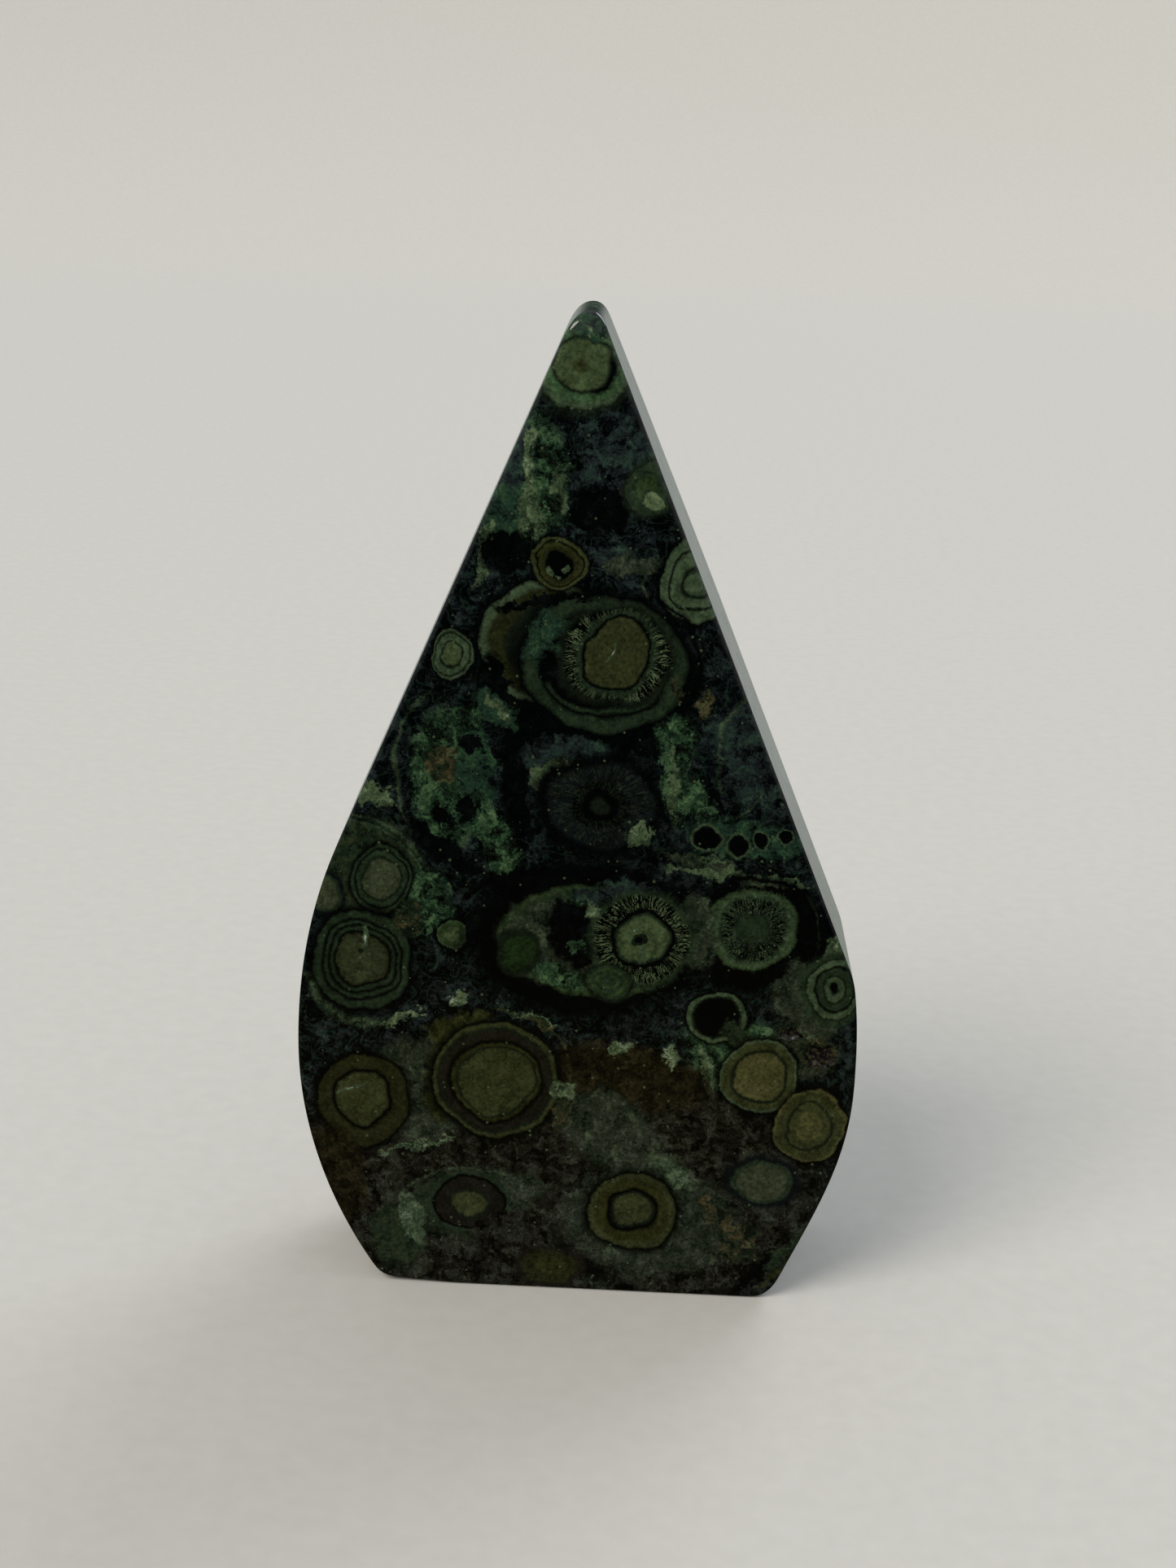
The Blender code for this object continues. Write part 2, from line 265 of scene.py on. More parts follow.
MARKINGS = (
    # The point
    Orb("tip", -2.0, 103.5, 4.8, 4.9, 0),
    Seam("black", -2.0, 103.5, 3.1, 3.1, 330, 50, 0.12),
    Patch("teal", -1.3, 107.6, 2.6, 1.4, 0),
    # A pale quartz crack at the point, which also stands in as a painted highlight where the rounding
    # catches the light
    Patch("quartz", -1.6, 107.2, 0.45, 1.0, 12),
    # Below it: a pale mottled band on the left, dark ground and a small orb on the right
    Patch("green", -6.8, 91.7, 3.5, 7.2, -4),
    Patch("teal", -8.6, 90.6, 2.4, 6.0, -20),
    Patch("haze", -8.0, 94.0, 1.8, 3.6, -20),
    Patch("light", -6.9, 91.6, 0.8, 6.0, -4),
    Patch("light", -6.2, 88.2, 0.7, 3.4, 10),
    Patch("green", -4.4, 91.0, 1.5, 3.8, 2),
    Patch("light", -3.8, 90.6, 0.6, 2.6, 2),
    Patch("light", -11.4, 84.0, 0.5, 3.7, -12),
    Patch("haze", 1.7, 94.0, 3.8, 4.8, 2),
    Patch("black", 0.1, 89.0, 3.4, 2.4, 2),
    Orb("halo", 5.2, 91.3, 2.3, 3.2, -4),
    Orb("light_disc", 5.8, 90.1, 1.3, 1.3, 0),
    Patch("haze", 2.2, 83.7, 3.5, 1.5, 2),
    Patch("grey", 3.6, 83.4, 3.2, 1.2, 8),
    Seam("sage", 10.5, 81.9, 5.4, 6.2, 215, 45, 0.03),
    Orb("edge", 10.5, 81.9, 3.9, 4.6, 2),
    Patch("black", -9.1, 84.3, 2.8, 2.4, 2),
    # The largest orb, its olive crescent and the eye that sits on it
    Patch("black", -0.5, 70.5, 12.0, 9.6, -8),
    Patch("black", -7.4, 61.0, 1.7, 8.0, 4),
    Orb("crescent", -4.6, 74.9, 7.3, 6.8, 2),
    Patch("black", -9.4, 70.2, 1.4, 4.0, 22),
    Orb("collar", 1.4, 72.8, 9.0, 7.7, -8),
    Seam("black", 1.6, 72.8, 9.7, 8.5, 0, 70, 0.035),
    Patch("teal", -4.3, 74.9, 2.7, 3.1, 2),
    Patch("black", -3.9, 72.1, 2.2, 1.4, -38),
    Orb("dark", 2.6, 73.8, 5.8, 5.3, 2),
    Orb("core", 2.7, 73.9, 3.8, 4.6, -26),
    Orb("crack", 1.9, 74.3, 0.14, 1.15, -33),
    Orb("crack", 3.0, 74.3, 0.17, 0.26, 0),
    Patch("black", -4.9, 79.2, 5.4, 0.7, 8),
    Patch("rust", 9.2, 70.6, 0.7, 1.2, 20),
    Orb("eye", -3.6, 83.1, 2.9, 2.8, 2),
    # Pale specks in the eye's black centre: painted glints where its crystals sparkle
    Orb("crack", -4.5, 82.5, 0.4, 0.5, 30),
    Orb("crack", -2.9, 82.9, 0.3, 0.5, -20),
    Orb("crack", -3.7, 82.0, 0.35, 0.2, 0),
    Orb("target", -14.3, 73.2, 2.3, 3.1, 2),
    # The middle: mottled green with rust on the left, dark quartz in the centre
    Seam("sage", -14.6, 60.2, 5.6, 9.6, 165, 55, 0.035),
    Patch("green", -14.8, 59.6, 3.9, 7.4, 6),
    Patch("teal", -11.6, 59.4, 1.9, 6.0, 4),
    Patch("green", -9.0, 52.0, 1.9, 6.8, 20),
    Patch("light", -7.6, 46.6, 1.5, 1.6, 20),
    Patch("green", -12.9, 66.5, 2.8, 1.2, 12),
    Patch("teal", -9.5, 67.5, 1.4, 3.2, 47),
    Patch("light", -9.3, 67.8, 0.5, 2.3, 47),
    Patch("black", -12.6, 63.4, 1.2, 0.9, 2),
    Patch("black", -12.6, 56.5, 1.0, 2.0, 12),
    Patch("black", -14.9, 55.6, 1.3, 1.2, 2),
    Patch("rust", -15.2, 61.4, 1.9, 2.4, 20),
    Patch("haze", -1.9, 62.7, 5.1, 2.3, 2),
    Patch("light", -4.6, 59.8, 0.8, 2.2, 8),
    Patch("light", -3.2, 61.4, 2.4, 0.9, 14),
    Patch("black", 1.6, 57.4, 7.4, 6.0, 2),
    Orb("quartz", 1.6, 57.4, 6.4, 5.2, 2),
    Patch("light", 5.9, 54.2, 1.4, 1.2, 40),
    Patch("green", 9.6, 65.4, 2.3, 2.7, 30),
    Patch("green", 9.5, 61.0, 1.6, 5.6, 6),
    Patch("light", 9.4, 60.4, 0.5, 4.6, 4),
    Patch("green", 11.9, 58.4, 1.2, 3.7, 27),
    Patch("rust", 12.0, 69.0, 0.8, 1.5, 2),
    Patch("haze", 16.9, 63.5, 3.8, 6.2, 22),
    Seam("sage", 17.3, 63.5, 3.6, 6.8, 150, 70, 0.05),
    Seam("sage", 14.0, 61.0, 5.0, 4.6, 300, 50, 0.03),
    Seam("slate", 16.6, 60.4, 3.2, 3.4, 60, 80, 0.05),
    Patch("teal", 17.4, 54.3, 6.4, 2.2, -4),
    Patch("light", 13.2, 51.6, 2.4, 0.8, -10),
    Orb("pit", 13.1, 54.4, 1.5, 1.4, 2),
    Orb("pit", 16.2, 53.6, 1.4, 1.5, 2),
    Orb("pit", 19.0, 54.3, 1.0, 1.1, 2),
    Orb("pit", 21.3, 54.9, 0.7, 0.8, 2),
    # The left: two orbs on grey green, under a pale double line
    Patch("light", -22.6, 57.6, 1.9, 1.2, -18),
    Patch("haze", -25.0, 52.1, 3.4, 3.0, 2),
    Patch("moss", -23.0, 48.5, 6.3, 6.5, 2),
    Patch("green", -17.0, 45.6, 3.2, 4.0, 2),
    Orb("soft", -27.4, 46.0, 2.4, 2.6, 2),
    Orb("twin", -21.5, 48.1, 3.2, 4.0, 2),
    Orb("onion", -23.6, 38.7, 5.6, 6.1, 2),
    Seam("sage", -23.1, 38.2, 6.3, 6.8, 240, 55, 0.07),
    Orb("crack", -23.4, 41.3, 0.26, 1.6, -4),
    Orb("pupil", -23.7, 39.8, 0.35, 0.4, 0),
    Seam("sage", -25.8, 43.3, 11.0, 12.0, 58, 40, 0.018),
    Seam("sage", -25.8, 43.3, 10.3, 11.3, 58, 40, 0.012),
    Patch("black", -15.2, 52.0, 5.4, 1.1, -34),
    Patch("rust", -18.5, 43.7, 1.6, 1.9, 2),
    Orb("disc", -13.7, 42.2, 1.8, 1.9, 2),
    # The capsule with its three orbs
    Patch("black", 0.8, 42.3, 14.2, 9.6, 4),
    Patch("black", -6.0, 48.6, 6.5, 1.5, 8),
    Patch("black", 18.8, 43.6, 9.0, 7.2, 4),
    Patch("light", 16.7, 50.1, 7.9, 0.6, -5),
    Patch("grey", 12.0, 51.6, 4.4, 0.5, -8),
    Seam("sage", 18.2, 44.0, 7.2, 6.8, 345, 55, 0.03),
    Seam("black", 1.5, 42.1, 11.9, 7.9, 170, 110, 0.08),
    Seam("black", 18.4, 44.0, 6.8, 6.1, 0, 120, 0.1),
    Orb("capsule", 1.5, 42.1, 10.9, 6.9, 2),
    Orb("capsule", 18.1, 44.3, 5.5, 4.9, 2),
    Patch("grey", 1.2, 42.1, 9.8, 6.0, 2),
    Patch("green", 2.6, 46.6, 5.4, 1.6, 4),
    Patch("green", -2.4, 37.7, 3.4, 1.3, -20),
    Patch("grey", 12.3, 43.5, 3.0, 4.2, 2),
    Orb("vivid", -6.7, 40.3, 2.3, 2.7, 2),
    Patch("black", -1.2, 43.2, 3.0, 3.7, 20),
    Patch("black", 0.2, 40.0, 1.6, 1.6, 2),
    Patch("light", 1.0, 46.0, 1.0, 1.5, 2),
    Patch("green", -0.4, 41.6, 1.0, 1.0, 2),
    Patch("haze", 3.3, 47.7, 4.9, 1.2, 6),
    Orb("feathered", 6.6, 42.5, 5.3, 5.3, 2),
    Orb("crack", 6.9, 40.9, 0.22, 1.2, 16),
    Orb("crack", 5.6, 43.6, 0.18, 0.9, -28),
    Orb("pupil", 6.2, 42.4, 0.7, 0.75, 0),
    Orb("dull", 3.1, 37.5, 2.7, 2.1, 2),
    Orb("seeded", 18.4, 44.3, 4.2, 4.2, 2),
    Seam("slate", 17.8, 42.0, 12.6, 9.4, 270, 60, 0.02),
    Seam("slate", 17.8, 42.0, 11.6, 8.6, 275, 60, 0.016),
    # Quartz streaks below the capsule, and the lobes on the right
    Patch("earth", -2.0, 12.0, 32.0, 17.5, 0),
    Patch("quartz", -19.2, 32.2, 2.6, 0.5, 26),
    Patch("quartz", -12.7, 34.6, 1.3, 0.8, 12),
    Patch("quartz", -4.8, 32.9, 2.7, 0.6, -16),
    Patch("rust", -4.0, 32.4, 1.6, 0.5, -16),
    Patch("light", 27.2, 41.6, 1.3, 2.6, 2),
    Patch("grey", 25.5, 36.4, 4.3, 4.7, 2),
    Orb("ripple", 27.8, 37.8, 3.6, 4.4, 2),
    Patch("green", 17.6, 29.6, 6.4, 4.6, -40),
    Patch("grey", 24.2, 30.4, 4.0, 3.4, -30),
    Orb("hollow", 15.1, 33.9, 3.4, 3.1, 2),
    Patch("moss", 17.6, 31.8, 2.4, 1.4, -40),
    Patch("light", 14.3, 28.0, 0.6, 2.9, 20),
    Orb("late", 20.1, 27.2, 4.4, 4.5, 2),
    Orb("double", 26.0, 21.6, 4.1, 4.5, 2),
    Patch("rust", 26.4, 30.1, 2.4, 2.1, -30),
    Patch("black", 26.7, 29.8, 1.5, 1.2, -20),
    Patch("black", 23.1, 32.3, 1.1, 0.6, 0),
    # The belly: warm dark ground, partly the stone's own brown and partly a painted warm reflection, two
    # large orbs on the left
    # Warm brown ground: partly the stone's own colour, partly a painted reflection of warm light from below
    Patch("umber", 5.6, 26.3, 9.8, 4.1, -8),
    Patch("quartz", 4.9, 29.6, 1.2, 1.0, 2),
    Patch("quartz", 10.5, 29.3, 0.6, 1.6, 2),
    Patch("olive", -13.0, 31.4, 4.4, 1.6, 22),
    Patch("grey", -17.4, 23.4, 6.2, 6.2, 2),
    Patch("olive", -15.0, 24.6, 1.5, 5.2, 2),
    Orb("angular", -23.3, 22.4, 5.3, 5.6, 2),
    Orb("crack", -24.6, 23.7, 1.96, 0.16, 29),
    Seam("khaki", -8.7, 25.3, 8.3, 8.4, 40, 60, 0.02),
    Orb("great", -8.7, 25.3, 7.1, 7.0, 2),
    Patch("quartz", -1.5, 24.4, 1.5, 1.2, 2),
    Patch("quartz", -17.7, 16.9, 4.0, 0.45, 14),
    Patch("umber", -26.5, 13.3, 3.7, 5.9, 12),
    # The foot
    Patch("grey", 4.4, 19.5, 6.7, 4.4, -38),
    Patch("grey", 9.0, 9.1, 10.0, 7.0, 2),
    Patch("light", 11.0, 15.4, 3.4, 1.6, -38),
    Patch("earth", 13.1, 18.6, 2.6, 4.4, 20),
    Patch("moss", -11.2, 10.3, 7.3, 4.4, 6),
    Patch("grey", -5.6, 12.4, 2.7, 1.8, 2),
    Seam("sage", -11.2, 9.7, 7.6, 4.9, 110, 74, 0.03),
    Seam("dust", -11.2, 9.7, 9.8, 6.8, 95, 60, 0.03),
    Orb("buried", -11.4, 10.3, 4.3, 3.7, 2),
    Patch("moss", -19.4, 5.9, 3.3, 4.3, 2),
    Patch("light", -17.6, 8.0, 1.4, 3.2, 8),
    Patch("earth", -5.8, 7.1, 5.5, 2.8, 10),
    Seam("black", 8.9, 11.1, 11.0, 10.4, 228, 36, 0.09),
    Seam("sage", 8.9, 11.1, 12.3, 11.6, 228, 34, 0.02),
    Seam("dust", 6.9, 10.3, 7.6, 7.6, 60, 60, 0.03),
    Orb("ringed", 6.9, 10.3, 5.2, 5.0, 2),
    Orb("soft", 21.2, 14.5, 4.0, 3.2, 2),
    Patch("rust", 18.9, 6.9, 2.4, 2.6, 2),
    Patch("rust", 16.2, 10.2, 1.6, 2.9, 32),
    Patch("rust", -1.4, 21.5, 1.0, 1.9, 2),
    Orb("half", -2.1, 2.8, 3.9, 2.7, 2),
    Patch("black", 21.2, 3.7, 4.8, 0.8, 44),
    Patch("olive", 23.9, 4.0, 3.4, 0.6, 42),
    Patch("moss", 24.6, 6.6, 4.0, 0.7, 44),
)

# An orb or patch turned by no more than this many degrees is laid level
LEVEL_TURN = 2

# The renderer can hold only so many markings at once: how many go into one run, and the next to nothing
# that ties a run to the one before it
RUN = 10
NUDGE = (1e-6, 1e-6, 1e-6)

# The orbs deeper in the stone, which show on its back and flanks: how far apart they grew and how
# unevenly, how large they are as shares of that, how near to the front face the nearest has its centre,
# and which rings they have from which share of them on
DEEP_SPACING = 11.5
DEEP_SCATTER = 0.85
DEEP_SIZES = (0.25, 0.6)
DEEP_FRONT = -3.4
DEEP_KINDS = ((0.0, "great"), (0.3, "ringed"), (0.5, "collar"), (0.65, "late"), (0.85, "twin"))

# Noises that run through the whole stone: how long their waves are in millimetres, their detail and
# roughness, and how many millimetres they shift what lies there, each on top of the ones above it. The
# swing lets the orbs grow unevenly, the sand makes their rings granular, and the rags wear the edges of
# the patches
SHIFTS = {
    "swing": (4.5, 3.0, 0.5, 2.2),
    "sand": (0.42, 2.0, 0.7, 0.42),
    "rags": (1.6, 4.0, 0.7, 3.8),
}
MIDDLE = (0.5, 0.5, 0.5)

# The grain that mottles every mineral, in millimetres, and the brightness that it and the sand give a
# mineral, as a factor, over their range from dark to light
GRAIN_LENGTH = 1.5
GRAIN_RANGE = (0.38, 0.62)
GRAIN_SHADES = (0.6, 1.4)
SAND_RANGE = (0.25, 0.75)
SAND_SHADES = (0.5, 1.5)

# The ground: how long its clouds are in millimetres, where they turn green and how deep in the stone, and
# the levels and half width of the faint contour lines in them
CLOUD_LENGTH = 7.0
CLOUD_GREEN = (0.5, 0.56)
GREEN_DEPTHS = (-8.0, -5.0)
CONTOURS = (0.38, 0.44, 0.49, 0.55, 0.62)
CONTOUR_REACH = 0.008
CONTOUR_SHOWN = (0.0, 0.0, 0.0, 0.6)

# The light's tint, painted into the stone's colour as painted light, from its foot at 0 to its point at 1
PAINTED_LIGHT_TINTS = (
    (0.1, (1.0, 1.0, 1.1, 1.0)),
    (0.25, (1.03, 1.01, 0.95, 1.0)),
    (0.4, (0.98, 1.02, 0.96, 1.0)),
    (0.68, (1.0, 1.02, 1.0, 1.0)),
    (0.8, (1.14, 1.18, 1.16, 1.0)),
)

# Tiny crystals, painted as pale specks that are partly their own colour and partly a painted glint: how far
# apart they are in millimetres, the share of them that is too small to show, the reach of the largest as a
# share of that distance, how softly they end, and how strongly they show
SPECK_SPACING = 0.95
SPECKS_HIDDEN = 0.3
SPECK_REACH = 0.2
SPECK_BLUR = 0.06
SPECK_STRENGTH = 0.7

# The lining of the pits: its colours as the sand goes from dark to light, and the share of a pit's depth
# where it starts and where it covers the polish
LINING = ((0.49, "black"), (0.58, "rust"), (0.68, "ochre"))
LINING_EDGE = (0.02, 0.2)

# The polish: two levels of the grain and its roughness on each, how much rougher a pit is, how deep the
# finest unevenness of the face is in millimetres, how many times deeper still it gets in a pit, and the
# refraction of quartz
GLOSS_GRAIN = (0.3, 0.75)
GLOSS = (0.08, 0.2)
PIT_ROUGHNESS = 0.25
TOOTH = 0.004
PIT_TOOTH = 2.0
QUARTZ_IOR = 1.54

# The camera of the photograph's view, in metres, millimetres of lens and sensor, and degrees
LENS = 54.06
SENSOR = 36.0
NEAREST = 0.01
CAMERA_AT = (0.00514, -0.24721, 0.13276)
CAMERA_YAW = 1.2
CAMERA_DOWN = 17.1
CAMERA_ROLL = 2.147

# The paper that the stone stands on, in metres: flat as far as its reach, with these shares of it on the
# way, and swept up behind that
FLOOR_REACH = 1.1
FLOOR_SHARES = (0.05, 0.2, 0.5, 0.8)
SWEEP_RADIUS = 0.9
SWEEP_STEPS = 16
BACKDROP_HEIGHT = 2.6
BACKDROP_SIDES = 96
PAPER_TONES = ((0.3, "#c1c0bc"), (0.7, "#c5c4c0"))
PAPER_FIBRE = 0.0025
PAPER_ROUGHNESS = 0.9
PAPER_GLEAM = 0.2

# The light of the room, and what the polish mirrors of it, from straight down at 0 to straight up at 1: a
# dim room in front, which gives way to a pale one between these two shares of the way to straight behind
ROOM_LIGHT = "#bdc0c0"
ROOM_BEHIND = (0.78, 0.92)
BACK_ROOM = ((0.3, "#8a9080"), (0.38, "#a8ada8"), (0.48, "#a8ada8"), (0.54, "#2c3432"), (0.8, "#6a7070"))
FRONT_ROOM = (
    (0.2, "#241f0b"), (0.3, "#2e2810"), (0.335, "#0b0d0e"), (0.44, "#0b0e10"), (0.48, "#20292c"),
    (0.6, "#8a8c8c"),
)

# The soft lights: where each stands in metres, its strength, how many degrees it spreads over, and its
# colour
SOFTBOXES = {
    "key_softbox": ((-0.5, -0.55, 0.7), 2.0, 32, "#fff6ea"),
    "back_softbox": ((0.45, 0.7, 0.55), 1.2, 35, "#f1f6ff"),
}


def linear(colour):
    """An sRGB hex colour as linear red, green, blue and 1."""
    parts = [int(colour[i : i + 2], 16) / 255 for i in (1, 3, 5)]
    parts = [part / 12.92 if part <= 0.04045 else ((part + 0.055) / 1.055) ** 2.4 for part in parts]
    return (*parts, 1.0)


def hue_stops(stops):
    """Colour stops with the stone's named hues made colours."""
    return [(share, linear(HUES[hue])) for share, hue in stops]


def hex_stops(stops):
    """Colour stops with their hex colours made linear."""
    return [(share, linear(colour)) for share, colour in stops]


def add(tree, kind, inputs=None, stops=None, **settings):
    """Adds a node with its settings and links. A node given as an input stands for its first output."""
    node = tree.nodes.new(kind)
    for name, value in settings.items():
        setattr(node, name, value)
    for key, value in (inputs or {}).items():
        if isinstance(value, bpy.types.Node):
            value = value.outputs[0]
        if isinstance(value, bpy.types.NodeSocket):
            tree.links.new(value, node.inputs[key])
        else:
            node.inputs[key].default_value = value
    if stops:
        while len(node.color_ramp.elements) < len(stops):
            node.color_ramp.elements.new(1.0)
        for element, (place, colour) in zip(node.color_ramp.elements, stops):
            element.position = place
            element.color = colour
    return node


def new_tree(name, kind, sockets):
    """A node group with its inputs and outputs, and its two end nodes."""
    tree = bpy.data.node_groups.new(name, kind)
    for label, way, socket in sockets:
        tree.interface.new_socket(label, in_out=way, socket_type=socket)
    return tree, tree.nodes.new("NodeGroupInput").outputs, tree.nodes.new("NodeGroupOutput").inputs


def rim_line():
    """The stone's outline as the CAD stone has it, counterclockwise from the front, in even steps."""
    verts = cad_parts["jasper_flame"].data.vertices
    places = [Vector((vert.co.x, vert.co.z)) / MM for vert in verts]
    corners = np.array([places[i] for i in convex_hull_2d(places)])
    after = np.roll(corners, -1, axis=0)
    if np.sum(corners[:, 0] * after[:, 1] - after[:, 0] * corners[:, 1]) < 0:
        corners = corners[::-1]
    closed = np.vstack([corners, corners[:1]])
    run = np.concatenate([[0], np.cumsum(np.linalg.norm(np.diff(closed, axis=0), axis=1))])
    count = round(run[-1] / RIM_STEP)
    marks = np.arange(count) * run[-1] / count
    rim = np.stack([np.interp(marks, run, closed[:, i]) for i in (0, 1)], axis=1)
    for _ in range(RIM_SMOOTHING):
        rim = (np.roll(rim, 1, axis=0) + 2 * rim + np.roll(rim, -1, axis=0)) / 4
    return rim


def inward(rim):
    """The directions into the stone along its outline."""
    along = np.roll(rim, -1, axis=0) - np.roll(rim, 1, axis=0)
    turned = np.stack([-along[:, 1], along[:, 0]], axis=1)
    return turned / np.linalg.norm(turned, axis=1, keepdims=True)


def depth_at(z, share):
    """Y at height z, where share runs from 0 on the front face to 1 on the back."""
    top = np.clip(1 - (HEIGHT - z) / ROUND_HEIGHT, 0, 1)
    rounded = ROUND_DEPTH * (1 - np.sqrt(1 - top**2))
    lean = BACK_LEAN_DEPTH * np.clip(1 - (HEIGHT - z) / BACK_LEAN_HEIGHT, 0, 1) ** BACK_LEAN_POWER
    front = FACE + rounded
    back = -FACE - lean - rounded
    return front * (1 - share) + back * share


def inside(places, rim, gap):
    """Which places lie inside the outline, at least gap away from it."""
    normals = inward(rim)
    room = np.full(len(places), np.inf)
    for corner, normal in zip(rim, normals):
        room = np.minimum(room, (places - corner) @ normal)
    return room > gap


def hex_grid(low, high, step):
    """Places in even triangles over a rectangle."""
    rows = np.arange(low[1], high[1], step * math.sqrt(3) / 2)
    lines = []
    for i, z in enumerate(rows):
        xs = np.arange(low[0] + step / 2 * (i % 2), high[0], step)
        lines.append(np.stack([xs, np.full(len(xs), z)], axis=1))
    return np.vstack(lines)


def face_fill(rim):
    """Places inside the rim of a face, closer together round the pits, and the triangles over them all."""
    grid = hex_grid(rim.min(0), rim.max(0), FACE_STEP)
    fine = []
    for x, z, wide, high in PITS:
        centre = np.array((x, z))
        reach = max(wide, high) * PIT_MARGIN
        grid = grid[np.linalg.norm(grid - centre, axis=1) > reach]
        near = hex_grid(centre - reach, centre + reach, PIT_STEP)
        fine.append(near[np.linalg.norm(near - centre, axis=1) < reach])
    inner = np.vstack([grid] + fine)
    inner = inner[inside(inner, rim, FILL_GAP)]
    places = [Vector(place) for place in np.vstack([rim, inner])]
    edges = [(i, (i + 1) % len(rim)) for i in range(len(rim))]
    _, _, faces, origins, _, _ = delaunay_2d_cdt(places, edges, [], KEEP_INSIDE, CORNER_SNAP)
    return inner, [tuple(origins[i][0] for i in face) for face in faces]


def belt_lines():
    """The lines round the stone from front to back: how far each is inset, and its share of the way."""
    turns = [math.pi / 2 * i / RIM_TURNS for i in range(RIM_TURNS + 1)]
    insets = [EDGE_RADIUS * (1 - math.sin(turn)) for turn in turns]
    shares = [EDGE_RADIUS * (1 - math.cos(turn)) / THICKNESS for turn in turns]
    rounding = list(zip(insets, shares))
    edge = EDGE_RADIUS / THICKNESS
    count = round(THICKNESS / FLANK_STEP)
    across = [(0.0, edge + i / count * (1 - 2 * edge)) for i in range(1, count)]
    return rounding + across + [(inset, 1 - share) for inset, share in reversed(rounding)]


def stone_mesh():
    """The whole stone as one closed mesh: two faces, rounded rims and the flank between them."""
    rim = rim_line()
    normals = inward(rim)
    belts = belt_lines()
    inner, triangles = face_fill(rim + normals * EDGE_RADIUS)
    verts = []
    for inset, share in belts:
        line = rim + normals * inset
        verts.append(np.stack([line[:, 0], depth_at(line[:, 1], share), line[:, 1]], axis=1))
    for share in (0, 1):
        verts.append(np.stack([inner[:, 0], depth_at(inner[:, 1], share), inner[:, 1]], axis=1))
    n = len(rim)
    faces = []
    for k in range(len(belts) - 1):
        for i in range(n):
            j = (i + 1) % n
            faces.append((k * n + i, (k + 1) * n + i, (k + 1) * n + j, k * n + j))
    last = (len(belts) - 1) * n
    front_inner = len(belts) * n - n
    back_inner = front_inner + len(inner)
    for face in triangles:
        faces.append(tuple(i if i < n else i + front_inner for i in face))
        faces.append(tuple(i + last if i < n else i + back_inner for i in reversed(face)))
    mesh = bpy.data.meshes.new("polished_flame")
    mesh.from_pydata(np.vstack(verts) * MM, [], faces)
    mesh.shade_smooth()
    return mesh


def relief_tree(finish):
    """Geometry Nodes that give the polish its faint waves and open the rusty pits."""
    sockets = (
        ("Geometry", "INPUT", "NodeSocketGeometry"),
        ("Wave", "INPUT", "NodeSocketFloat"),
        ("Wave Length", "INPUT", "NodeSocketFloat"),
        ("Pit Depth", "INPUT", "NodeSocketFloat"),
        ("Seed", "INPUT", "NodeSocketFloat"),
        ("Geometry", "OUTPUT", "NodeSocketGeometry"),
    )
    tree, given, result = new_tree("polish_relief", "GeometryNodeTree", sockets)
    metres = add(tree, "GeometryNodeInputPosition")
    place = add(tree, "ShaderNodeVectorMath", {0: metres, 3: 1 / MM}, operation="SCALE")
    finer = add(tree, "ShaderNodeMath", {0: 1.0, 1: given["Wave Length"]}, operation="DIVIDE")
    swell = add(
        tree, "ShaderNodeTexNoise", {"Vector": place, "W": given["Seed"], "Scale": finer, "Detail": 1.0},
        noise_dimensions="4D",
    )
    crumble = add(
        tree, "ShaderNodeTexNoise", {"Vector": place, "Scale": PIT_CRUMBS, "Detail": 4.0, "Roughness": 0.6}
    )
    frayed = add(tree, "ShaderNodeMath", {0: crumble, 1: 0.5}, operation="SUBTRACT")
    pits = None
    for x, z, wide, high in PITS:
        away = add(tree, "ShaderNodeVectorMath", {0: place, 1: (x, FACE, z)}, operation="SUBTRACT")
        shrunk = add(tree, "ShaderNodeVectorMath", {0: away, 1: (wide, PIT_HOLD, high)}, operation="DIVIDE")
        length = add(tree, "ShaderNodeVectorMath", {0: shrunk}, operation="LENGTH").outputs["Value"]
        reach = add(tree, "ShaderNodeMath", {0: frayed, 1: PIT_FRAY, 2: length}, operation="MULTIPLY_ADD")
        open_here = add(
            tree, "ShaderNodeMapRange", {"Value": reach, "From Min": PIT_WALL[0], "From Max": PIT_WALL[1]},
            interpolation_type="SMOOTHSTEP",
        )
        pits = open_here if pits is None else add(
            tree, "ShaderNodeMath", {0: pits, 1: open_here}, operation="MAXIMUM"
        )
    wave = add(tree, "ShaderNodeMath", {0: swell, 1: given["Wave"]}, operation="MULTIPLY")
    sunk = add(tree, "ShaderNodeMath", {0: pits, 1: given["Pit Depth"], 2: wave}, operation="MULTIPLY_ADD")
    inwards = add(tree, "ShaderNodeMath", {0: sunk, 1: -MM}, operation="MULTIPLY")
    normal = add(tree, "GeometryNodeInputNormal")
    offset = add(tree, "ShaderNodeVectorMath", {0: normal, 3: inwards}, operation="SCALE")
    moved = add(tree, "GeometryNodeSetPosition", {"Geometry": given["Geometry"], "Offset": offset})
    marked = add(
        tree, "GeometryNodeStoreNamedAttribute", {"Geometry": moved, "Name": "pit", "Value": pits},
        data_type="FLOAT", domain="POINT",
    )
    real = add(tree, "GeometryNodeRealizeInstances", {"Geometry": marked})
    dressed = add(tree, "GeometryNodeSetMaterial", {"Geometry": real, "Material": finish})
    tree.links.new(dressed.outputs[0], result["Geometry"])
    return tree


def ring_stops(rings):
    """Colour stops for a cut orb from its centre out. Its last ring fades into the stone around it."""
    stops = []
    inner = 0.0
    for outer, hue in rings:
        colour = linear(HUES[hue])
        blur = min(RING_BLUR, RING_BLUR_MOST * (outer - inner))
        stops.append(((inner + blur) / FADE, colour))
        stops.append(((outer - blur) / FADE, colour))
        inner = outer
    stops.append((1.0, stops[-1][1][:3] + (0.0,)))
    return stops


